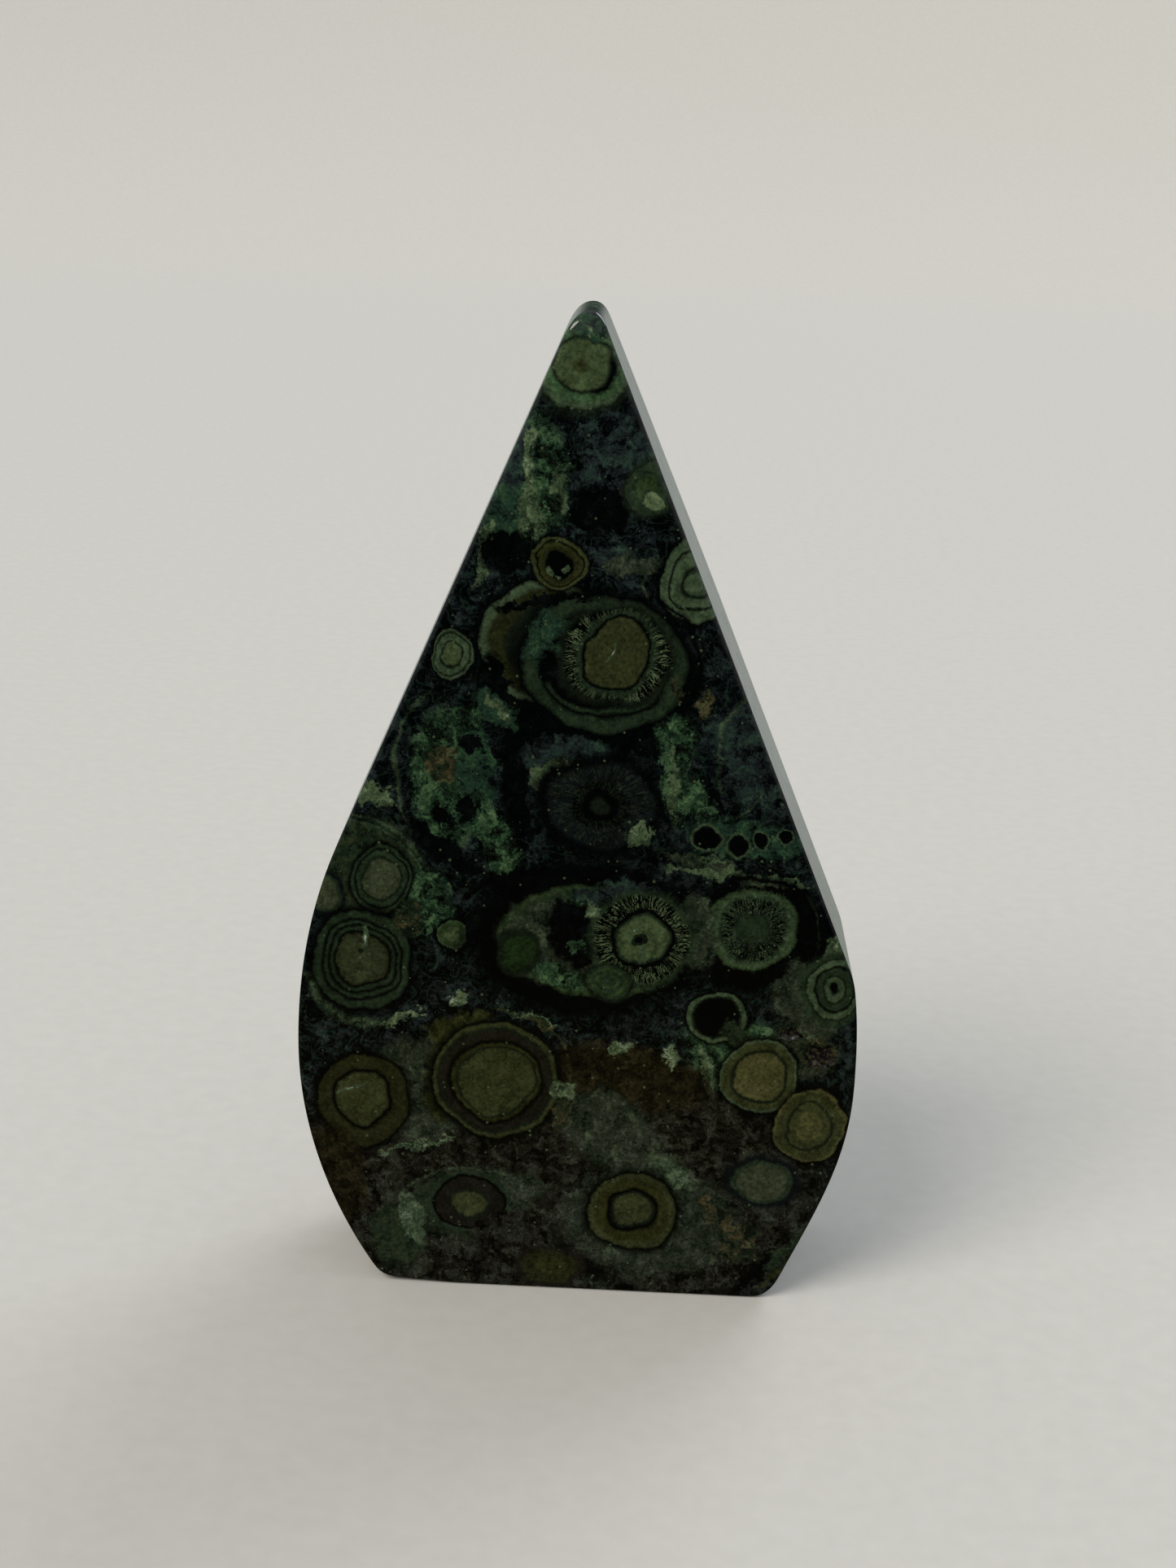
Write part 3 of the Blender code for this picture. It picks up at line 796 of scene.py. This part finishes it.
def mark_tree(name, shape, turned):
    """A node group that lays one marking over what is under it. Shape makes its cover and its colour."""
    sockets = (
        ("Under", "INPUT", "NodeSocketColor"),
        ("Over", "INPUT", "NodeSocketColor"),
        ("Place", "INPUT", "NodeSocketVector"),
        ("Centre", "INPUT", "NodeSocketVector"),
        ("Turn", "INPUT", "NodeSocketFloat"),
        ("Reach", "INPUT", "NodeSocketVector"),
        ("Way", "INPUT", "NodeSocketVector"),
        ("Open", "INPUT", "NodeSocketFloat"),
        ("Width", "INPUT", "NodeSocketFloat"),
        ("Strength", "INPUT", "NodeSocketFloat"),
        ("Colour", "OUTPUT", "NodeSocketColor"),
        ("Cover", "OUTPUT", "NodeSocketFloat"),
    )
    tree, given, result = new_tree(name, "ShaderNodeTree", sockets)
    away = add(tree, "ShaderNodeVectorMath", {0: given["Place"], 1: given["Centre"]}, operation="SUBTRACT")
    if turned:
        away = add(
            tree, "ShaderNodeVectorRotate", {"Vector": away, "Axis": (0, 1, 0), "Angle": given["Turn"]},
            rotation_type="AXIS_ANGLE",
        )
    local = add(tree, "ShaderNodeVectorMath", {0: away, 1: given["Reach"]}, operation="DIVIDE")
    reach = add(tree, "ShaderNodeVectorMath", {0: local}, operation="LENGTH").outputs["Value"]
    cover, over = shape(tree, given, local, reach)
    laid = add(tree, "ShaderNodeMix", {0: cover, 6: given["Under"], 7: over}, data_type="RGBA")
    tree.links.new(laid.outputs[2], result["Colour"])
    tree.links.new(cover, result["Cover"])
    return tree


def orb_shape(kind):
    """The shape of a cut orb: its rings, and its fibres if it has any."""

    def shape(tree, given, local, reach):
        fibres = FIBRES.get(kind)
        if not fibres:
            ring = add(tree, "ShaderNodeValToRGB", {"Fac": reach}, stops=ring_stops(RINGS[kind]))
            return ring.outputs["Alpha"], ring.outputs["Color"]
        hue, start, end, strength, ruffle = fibres
        start, end = start / FADE, end / FADE
        way = add(tree, "ShaderNodeVectorMath", {0: local}, operation="NORMALIZE")
        tips = add(
            tree, "ShaderNodeTexNoise",
            {"Vector": way, "Scale": FIBRE_SCALE, "Detail": 1.0, "Roughness": 0.7},
        )
        spread = add(
            tree, "ShaderNodeMapRange",
            {"Value": reach, "From Min": start, "From Max": 1.0, "To Max": ruffle},
        )
        longer = add(tree, "ShaderNodeMath", {0: tips, 1: 0.5}, operation="SUBTRACT")
        reach = add(tree, "ShaderNodeMath", {0: longer, 1: spread, 2: reach}, operation="MULTIPLY_ADD")
        ring = add(tree, "ShaderNodeValToRGB", {"Fac": reach}, stops=ring_stops(RINGS[kind]))
        fine = add(
            tree, "ShaderNodeMapRange",
            {"Value": tips, "From Min": FIBRE_SHOWS[0], "From Max": FIBRE_SHOWS[1], "To Max": strength},
        )
        zone_stops = [
            (start, CLEAR), (start + FIBRE_START_BLUR, FULL), (end - FIBRE_END_BLUR, FULL), (end, CLEAR),
        ]
        zone = add(tree, "ShaderNodeValToRGB", {"Fac": reach}, stops=zone_stops)
        shown = add(tree, "ShaderNodeMath", {0: zone.outputs["Alpha"], 1: fine}, operation="MULTIPLY")
        lined = add(
            tree, "ShaderNodeMix", {0: shown, 6: ring.outputs["Color"], 7: linear(HUES[hue])},
            data_type="RGBA",
        )
        return ring.outputs["Alpha"], lined.outputs[2]

    return shape


def patch_shape(tree, given, local, reach):
    """The shape of a mineral patch: solid within, and worn away towards its edge."""
    cover = add(
        tree, "ShaderNodeMapRange", {"Value": reach, "From Min": PATCH_EDGE[0], "From Max": PATCH_EDGE[1]},
        interpolation_type="SMOOTHSTEP",
    )
    return cover.outputs[0], given["Over"]


def seam_shape(tree, given, local, reach):
    """The shape of a seam: a thin line along part of an ellipse."""
    off = add(tree, "ShaderNodeMath", {0: reach, 1: 1.0}, operation="SUBTRACT")
    off = add(tree, "ShaderNodeMath", {0: off}, operation="ABSOLUTE")
    near = add(tree, "ShaderNodeMath", {0: off, 1: given["Width"]}, operation="DIVIDE")
    line = add(
        tree, "ShaderNodeMapRange", {"Value": near, "From Min": SEAM_EDGE[0], "From Max": SEAM_EDGE[1]}
    )
    way = add(tree, "ShaderNodeVectorMath", {0: local}, operation="NORMALIZE")
    dot = add(tree, "ShaderNodeVectorMath", {0: way, 1: given["Way"]}, operation="DOT_PRODUCT")
    along = dot.outputs["Value"]
    within = add(tree, "ShaderNodeMath", {0: along, 1: given["Open"]}, operation="SUBTRACT")
    window = add(tree, "ShaderNodeMapRange", {"Value": within, "From Min": 0.0, "From Max": SEAM_END})
    shown = add(tree, "ShaderNodeMath", {0: line, 1: window}, operation="MULTIPLY")
    cover = add(tree, "ShaderNodeMath", {0: shown, 1: given["Strength"]}, operation="MULTIPLY")
    return cover.outputs[0], given["Over"]


def stone_noises(tree, place):
    """The stone's noises, the places that they shift, and the grain that all its minerals share."""
    noises = {}
    shifted = {}
    moved = place
    for name, (length, detail, rough, shift) in SHIFTS.items():
        noise = add(
            tree, "ShaderNodeTexNoise",
            {"Vector": place, "Scale": 1 / length, "Detail": detail, "Roughness": rough},
        )
        way = add(
            tree, "ShaderNodeVectorMath", {0: noise.outputs["Color"], 1: MIDDLE}, operation="SUBTRACT"
        )
        moved = add(
            tree, "ShaderNodeVectorMath", {0: way, 1: (shift, shift, shift), 2: moved},
            operation="MULTIPLY_ADD",
        )
        noises[name] = noise
        shifted[name] = moved
    grain = add(
        tree, "ShaderNodeTexNoise",
        {
            "Vector": moved, "Scale": 1 / GRAIN_LENGTH, "Detail": 5.0, "Roughness": 0.75,
            "Distortion": 0.3,
        },
    )
    return noises, shifted, grain


def mineral_fields(tree, grain):
    """Each mineral's colour all through the stone, mottled by the one grain."""
    fields = {}
    for name, stops in MINERALS.items():
        field = add(tree, "ShaderNodeValToRGB", {"Fac": grain}, stops=hue_stops(stops))
        fields[name] = field.outputs["Color"]
    return fields


def deep_orbs(tree, place, ground):
    """The orbs deeper in the stone, as full balls that the cuts open on the back and the flanks."""
    cells = add(
        tree, "ShaderNodeTexVoronoi",
        {"Vector": place, "Scale": 1 / DEEP_SPACING, "Randomness": DEEP_SCATTER},
    )
    parts = add(tree, "ShaderNodeSeparateColor", {0: cells.outputs["Color"]})
    centre = add(tree, "ShaderNodeSeparateXYZ", {0: cells.outputs["Position"]})
    size = add(
        tree, "ShaderNodeMapRange",
        {"Value": parts.outputs[0], "To Min": DEEP_SIZES[0], "To Max": DEEP_SIZES[1]},
    )
    reach = add(tree, "ShaderNodeMath", {0: cells.outputs["Distance"], 1: size}, operation="DIVIDE")
    behind = add(tree, "ShaderNodeMath", {0: centre.outputs["Y"], 1: DEEP_FRONT}, operation="GREATER_THAN")
    colour = ground
    for low, kind in DEEP_KINDS:
        chosen = add(tree, "ShaderNodeMath", {0: parts.outputs[1], 1: low}, operation="GREATER_THAN")
        chosen = add(tree, "ShaderNodeMath", {0: chosen, 1: behind}, operation="MULTIPLY")
        ring = add(tree, "ShaderNodeValToRGB", {"Fac": reach}, stops=ring_stops(RINGS[kind]))
        cover = add(tree, "ShaderNodeMath", {0: chosen, 1: ring.outputs["Alpha"]}, operation="MULTIPLY")
        laid = add(tree, "ShaderNodeMix", {0: cover, 6: colour, 7: ring.outputs["Color"]}, data_type="RGBA")
        colour = laid.outputs[2]
    return colour


def ground_colour(tree, place, depth, fields):
    """The ground between the orbs: faint contour lines, and ragged green clouds on the back and flanks."""
    cloud = add(
        tree, "ShaderNodeTexNoise",
        {"Vector": place, "Scale": 1 / CLOUD_LENGTH, "Detail": 3.0, "Roughness": 0.55},
    )
    lines = []
    for level in CONTOURS:
        lines += [(level - CONTOUR_REACH, CLEAR), (level, CONTOUR_SHOWN), (level + CONTOUR_REACH, CLEAR)]
    contour = add(tree, "ShaderNodeValToRGB", {"Fac": cloud}, stops=lines)
    lined = add(
        tree, "ShaderNodeMix", {0: contour.outputs["Alpha"], 6: fields["ground"], 7: linear(HUES["teal"])},
        data_type="RGBA",
    )
    deep = add(
        tree, "ShaderNodeMapRange",
        {"Value": depth, "From Min": GREEN_DEPTHS[0], "From Max": GREEN_DEPTHS[1]},
    )
    clouded = add(
        tree, "ShaderNodeMapRange", {"Value": cloud, "From Min": CLOUD_GREEN[0], "From Max": CLOUD_GREEN[1]}
    )
    clouded = add(tree, "ShaderNodeMath", {0: clouded, 1: deep}, operation="MULTIPLY")
    greened = add(
        tree, "ShaderNodeMix", {0: clouded, 6: lined.outputs[2], 7: fields["green"]}, data_type="RGBA"
    )
    return greened.outputs[2]


def marking(mark, bent, ragged, fields, broken):
    """What lays one marking: its kind, the shape it has, and the inputs of its node group."""
    inputs = {
        "Place": bent,
        "Centre": (mark.x, FACE, mark.z),
        "Reach": (mark.wide, (mark.wide + mark.high) / 2, mark.high),
    }
    if isinstance(mark, Orb):
        inputs["Turn"] = math.radians(mark.turn)
        inputs["Reach"] = tuple(FADE * reach for reach in inputs["Reach"])
        return mark.rings, orb_shape(mark.rings), inputs
    if isinstance(mark, Patch):
        inputs["Turn"] = math.radians(mark.turn)
        inputs["Place"] = ragged
        inputs["Over"] = fields[mark.stuff]
        return "patch", patch_shape, inputs
    way = math.radians(mark.way)
    inputs["Over"] = linear(HUES[mark.hue])
    inputs["Way"] = (math.cos(way), 0, math.sin(way))
    inputs["Open"] = math.cos(math.radians(mark.spread))
    inputs["Width"] = mark.width
    inputs["Strength"] = 1.0 if mark.hue == "black" else broken
    return "seam", seam_shape, inputs


def lay_markings(tree, colour, bent, ragged, grain, fields):
    """Lays the markings one over the other. Pale seams come and go along their length as the grain does.

    Each run of markings starts from the cover of the one before it, so that the renderer works through the
    runs in turn.
    """
    broken = add(
        tree, "ShaderNodeMapRange",
        {
            "Value": grain, "From Min": SEAM_BREAKS[0], "From Max": SEAM_BREAKS[1],
            "To Min": SEAM_STRENGTH[0], "To Max": SEAM_STRENGTH[1],
        },
    )
    kinds = {}
    for i, mark in enumerate(MARKINGS):
        if i and i % RUN == 0:
            cover = layer.outputs["Cover"]
            nudge = add(tree, "ShaderNodeVectorMath", {0: NUDGE, 3: cover}, operation="SCALE")
            bent = add(tree, "ShaderNodeVectorMath", {0: bent, 1: nudge}, operation="ADD")
            ragged = add(tree, "ShaderNodeVectorMath", {0: ragged, 1: nudge}, operation="ADD")
        kind, shape, inputs = marking(mark, bent, ragged, fields, broken)
        turned = abs(getattr(mark, "turn", 0)) > LEVEL_TURN
        name = kind if turned else "level_" + kind
        if name not in kinds:
            kinds[name] = mark_tree(name, shape, turned)
        layer = add(tree, "ShaderNodeGroup", {"Under": colour, **inputs}, node_tree=kinds[name])
        colour = layer.outputs["Colour"]
    return colour


def shaded(tree, colour, grain, sand, height):
    """Mottles every mineral with the grain and the sand, and tints the stone by its height with painted
    light.
    """
    mottle = add(
        tree, "ShaderNodeMapRange",
        {
            "Value": grain, "From Min": GRAIN_RANGE[0], "From Max": GRAIN_RANGE[1],
            "To Min": GRAIN_SHADES[0], "To Max": GRAIN_SHADES[1],
        },
    )
    speckle = add(
        tree, "ShaderNodeMapRange",
        {
            "Value": sand, "From Min": SAND_RANGE[0], "From Max": SAND_RANGE[1],
            "To Min": SAND_SHADES[0], "To Max": SAND_SHADES[1],
        },
    )
    shade = add(tree, "ShaderNodeMath", {0: mottle, 1: speckle}, operation="MULTIPLY")
    mottled = add(tree, "ShaderNodeHueSaturation", {"Value": shade, "Color": colour})
    rise = add(tree, "ShaderNodeMath", {0: height, 1: HEIGHT}, operation="DIVIDE")
    # Painted light: the stone's colour tinted by its height, as the light falls on it
    painted_light_tint = add(tree, "ShaderNodeValToRGB", {"Fac": rise}, stops=PAINTED_LIGHT_TINTS)
    tinted = add(
        tree, "ShaderNodeMix", {0: 1.0, 6: mottled, 7: painted_light_tint}, data_type="RGBA", blend_type="MULTIPLY"
    )
    return tinted.outputs[2]


def specks_and_glints(tree, colour, place):
    """Sows tiny crystals as pale specks: partly their own pale colour, partly a painted glint where they
    catch the light.
    """
    cells = add(
        tree, "ShaderNodeTexVoronoi", {"Vector": place, "Scale": 1 / SPECK_SPACING, "Randomness": 1.0}
    )
    parts = add(tree, "ShaderNodeSeparateColor", {0: cells.outputs["Color"]})
    reach = add(
        tree, "ShaderNodeMapRange",
        {"Value": parts.outputs[0], "From Min": SPECKS_HIDDEN, "From Max": 1.0, "To Max": SPECK_REACH},
    )
    near = add(tree, "ShaderNodeMath", {0: reach, 1: cells.outputs["Distance"]}, operation="SUBTRACT")
    speck = add(
        tree, "ShaderNodeMapRange",
        {"Value": near, "From Min": 0.0, "From Max": SPECK_BLUR, "To Max": SPECK_STRENGTH},
    )
    specks = add(tree, "ShaderNodeMix", {0: speck, 6: colour, 7: linear(HUES["pale"])}, data_type="RGBA")
    return specks.outputs[2]


def polish(tree, shader, colour, grain, sand):
    """Glossy as wet glass, a little duller on the pale grain, and rough in the pits, which rust lines."""
    pit = add(tree, "ShaderNodeAttribute", attribute_name="pit").outputs["Fac"]
    lining = add(tree, "ShaderNodeValToRGB", {"Fac": sand}, stops=hue_stops(LINING))
    lined = add(
        tree, "ShaderNodeMapRange", {"Value": pit, "From Min": LINING_EDGE[0], "From Max": LINING_EDGE[1]}
    )
    colour = add(tree, "ShaderNodeMix", {0: lined, 6: colour, 7: lining}, data_type="RGBA").outputs[2]
    tree.links.new(colour, shader.inputs["Base Color"])
    gloss = add(
        tree, "ShaderNodeMapRange",
        {
            "Value": grain, "From Min": GLOSS_GRAIN[0], "From Max": GLOSS_GRAIN[1],
            "To Min": GLOSS[0], "To Max": GLOSS[1],
        },
    )
    rough = add(
        tree, "ShaderNodeMath", {0: lined, 1: PIT_ROUGHNESS, 2: gloss}, operation="MULTIPLY_ADD",
        use_clamp=True,
    )
    tree.links.new(rough.outputs[0], shader.inputs["Roughness"])
    ripple = add(tree, "ShaderNodeMath", {0: lined, 1: PIT_TOOTH, 2: 1.0}, operation="MULTIPLY_ADD")
    height = add(tree, "ShaderNodeMath", {0: sand, 1: ripple}, operation="MULTIPLY")
    bump = add(tree, "ShaderNodeBump", {"Height": height, "Strength": 1.0, "Distance": TOOTH * MM})
    tree.links.new(bump.outputs[0], shader.inputs["Normal"])
    shader.inputs["IOR"].default_value = QUARTZ_IOR


def polished_jasper():
    """Polished kambaba jasper: near-black green ground with ringed olive orbs, glossy as wet glass."""
    material = bpy.data.materials.new("polished_jasper")
    material.use_nodes = True
    tree = material.node_tree
    coords = add(tree, "ShaderNodeTexCoord").outputs["Object"]
    place = add(tree, "ShaderNodeVectorMath", {0: coords, 3: 1 / MM}, operation="SCALE")
    axes = add(tree, "ShaderNodeSeparateXYZ", {0: place})
    noises, shifted, grain = stone_noises(tree, place)
    bent = shifted["sand"]
    ragged = shifted["rags"]
    sand = noises["sand"]
    fields = mineral_fields(tree, grain)
    colour = ground_colour(tree, bent, axes.outputs["Y"], fields)
    colour = deep_orbs(tree, bent, colour)
    colour = lay_markings(tree, colour, bent, ragged, grain, fields)
    colour = shaded(tree, colour, grain, sand, axes.outputs["Z"])
    colour = specks_and_glints(tree, colour, place)
    polish(tree, tree.nodes["Principled BSDF"], colour, grain, sand)
    return material


def make_stone():
    """The stone: its mesh, with the relief of its polish made fast, riding with the CAD stone."""
    stone = bpy.data.objects.new("polished_flame", stone_mesh())
    bpy.context.scene.collection.objects.link(stone)
    relief = stone.modifiers.new("relief", "NODES")
    relief.node_group = relief_tree(polished_jasper())
    settings = {"Wave": WAVE, "Wave Length": WAVE_LENGTH, "Pit Depth": PIT_DEPTH, "Seed": WAVE_SEED}
    for item in relief.node_group.interface.items_tree:
        if item.in_out == "INPUT" and item.name in settings:
            relief[item.identifier] = settings[item.name]
    bpy.context.view_layer.update()
    done = stone.evaluated_get(bpy.context.evaluated_depsgraph_get())
    mesh = bpy.data.meshes.new_from_object(done)
    stone.modifiers.remove(relief)
    stone.data = mesh
    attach(stone, "root")
    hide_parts("jasper_flame")


def floor_mesh():
    """One sheet: flat under the stone, and swept up all round into a backdrop."""
    profile = [(FLOOR_REACH * share, 0.0) for share in FLOOR_SHARES]
    for i in range(SWEEP_STEPS + 1):
        turn = math.pi / 2 * i / SWEEP_STEPS
        out = FLOOR_REACH + SWEEP_RADIUS * math.sin(turn)
        profile.append((out, SWEEP_RADIUS * (1 - math.cos(turn))))
    profile.append((FLOOR_REACH + SWEEP_RADIUS, BACKDROP_HEIGHT))
    angles = np.arange(BACKDROP_SIDES) * 2 * math.pi / BACKDROP_SIDES
    verts = [(0.0, 0.0, 0.0)]
    for radius, z in profile:
        verts += [(radius * math.cos(angle), radius * math.sin(angle), z) for angle in angles]
    faces = []
    for i in range(BACKDROP_SIDES):
        j = (i + 1) % BACKDROP_SIDES
        faces.append((0, 1 + i, 1 + j))
        for k in range(len(profile) - 1):
            low = 1 + k * BACKDROP_SIDES
            high = low + BACKDROP_SIDES
            faces.append((low + i, high + i, high + j, low + j))
    mesh = bpy.data.meshes.new("floor")
    mesh.from_pydata(verts, [], faces)
    mesh.shade_smooth()
    return mesh


def matt_paper():
    """Matt drawing paper: pale and soft, with next to no gleam."""
    material = bpy.data.materials.new("matt_paper")
    material.use_nodes = True
    tree = material.node_tree
    shader = tree.nodes["Principled BSDF"]
    coords = add(tree, "ShaderNodeTexCoord").outputs["Object"]
    fibre = add(tree, "ShaderNodeTexNoise", {"Vector": coords, "Scale": 1 / PAPER_FIBRE, "Detail": 3.0})
    tone = add(tree, "ShaderNodeValToRGB", {"Fac": fibre}, stops=hex_stops(PAPER_TONES))
    tree.links.new(tone.outputs["Color"], shader.inputs["Base Color"])
    shader.inputs["Roughness"].default_value = PAPER_ROUGHNESS
    shader.inputs["Specular IOR Level"].default_value = PAPER_GLEAM
    return material


def make_floor():
    """The floor, which the stone shades, but which neither mirrors in it nor lights it."""
    mesh = floor_mesh()
    floor = bpy.data.objects.new("floor", mesh)
    bpy.context.scene.collection.objects.link(floor)
    mesh.materials.append(matt_paper())
    floor.visible_glossy = False
    floor.visible_diffuse = False
    floor.visible_shadow = False


def make_world():
    """Even studio light, and the two rooms that the polish mirrors."""
    world = bpy.data.worlds.new("studio")
    bpy.context.scene.world = world
    world.use_nodes = True
    tree = world.node_tree
    tree.nodes.clear()
    path = add(tree, "ShaderNodeLightPath")
    way = add(tree, "ShaderNodeTexCoord").outputs["Generated"]
    parts = add(tree, "ShaderNodeSeparateXYZ", {0: way})
    behind = add(
        tree, "ShaderNodeMapRange",
        {"Value": parts.outputs["Y"], "From Min": ROOM_BEHIND[0], "From Max": ROOM_BEHIND[1]},
    )
    rise = add(tree, "ShaderNodeMath", {0: parts.outputs["Z"], 1: 0.5, 2: 0.5}, operation="MULTIPLY_ADD")
    back = add(tree, "ShaderNodeValToRGB", {"Fac": rise}, stops=hex_stops(BACK_ROOM))
    front = add(tree, "ShaderNodeValToRGB", {"Fac": rise}, stops=hex_stops(FRONT_ROOM))
    mirrored = add(tree, "ShaderNodeMix", {0: behind, 6: front, 7: back}, data_type="RGBA").outputs[2]
    lit = add(
        tree, "ShaderNodeMix", {0: path.outputs["Is Glossy Ray"], 6: linear(ROOM_LIGHT), 7: mirrored},
        data_type="RGBA",
    ).outputs[2]
    shade = add(tree, "ShaderNodeBackground", {"Color": lit, "Strength": 1.0})
    add(tree, "ShaderNodeOutputWorld", {"Surface": shade})


def make_lights():
    """Broad soft lights that shine from their places towards the stone."""
    for name, (at, strength, spread, colour) in SOFTBOXES.items():
        data = bpy.data.lights.new(name, "SUN")
        data.energy = strength
        data.angle = math.radians(spread)
        data.color = linear(colour)[:3]
        light = bpy.data.objects.new(name, data)
        bpy.context.scene.collection.objects.link(light)
        light.location = at
        light.rotation_euler = (-Vector(at)).to_track_quat("-Z", "Y").to_euler()


def make_camera():
    """The camera, turned about its own line of sight, tipped down and then swung round the upright."""
    data = bpy.data.cameras.new("camera")
    data.lens = LENS
    data.sensor_width = SENSOR
    data.clip_start = NEAREST
    camera = bpy.data.objects.new("camera", data)
    bpy.context.scene.collection.objects.link(camera)
    turned = (
        Matrix.Rotation(math.radians(CAMERA_YAW), 3, "Z")
        @ Matrix.Rotation(math.radians(90 - CAMERA_DOWN), 3, "X")
        @ Matrix.Rotation(math.radians(CAMERA_ROLL), 3, "Z")
    )
    camera.location = CAMERA_AT
    camera.rotation_euler = turned.to_euler()
    bpy.context.scene.camera = camera


make_stone()
make_floor()
make_world()
make_lights()
make_camera()
bpy.context.scene.view_settings.view_transform = "Standard"
